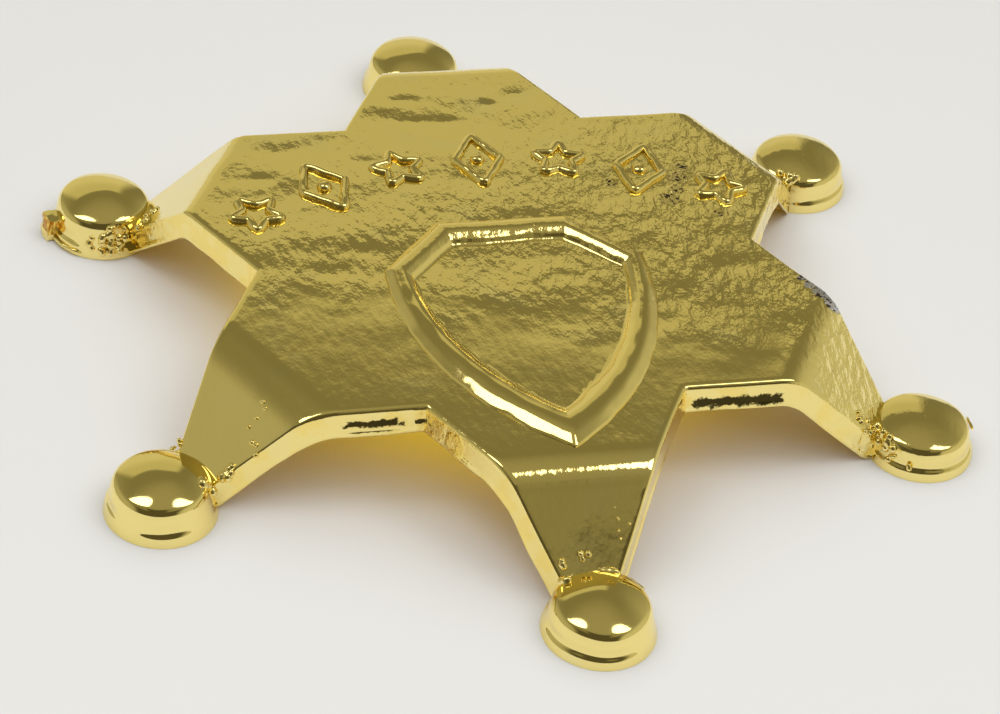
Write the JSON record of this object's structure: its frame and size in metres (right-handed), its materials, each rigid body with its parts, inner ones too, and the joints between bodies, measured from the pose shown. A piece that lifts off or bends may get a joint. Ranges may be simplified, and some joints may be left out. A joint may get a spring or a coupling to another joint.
{
  "type": "sheriff star badge",
  "caption": "Star badge with ball-tipped points folded down to rest, a raised shield rim and an arc of small raised ornaments on its face, and a plain bar pin on its hollow back.",
  "frame": {"origin": "middle of the star, on the plane that the ball tips rest on", "axes": "+Y to the top point of the star, +X to the right as the face is looked at, +Z out of the face"},
  "size_m": [0.0624, 0.0698, 0.0084],
  "materials": {
    "gold_plate": "polished gold plate over a rough casting",
    "pin_steel": "satin nickel"
  },
  "bodies": {
    "root": {"star_casting": "gold_plate", "bar_pin": "pin_steel"}
  },
  "joints": []
}
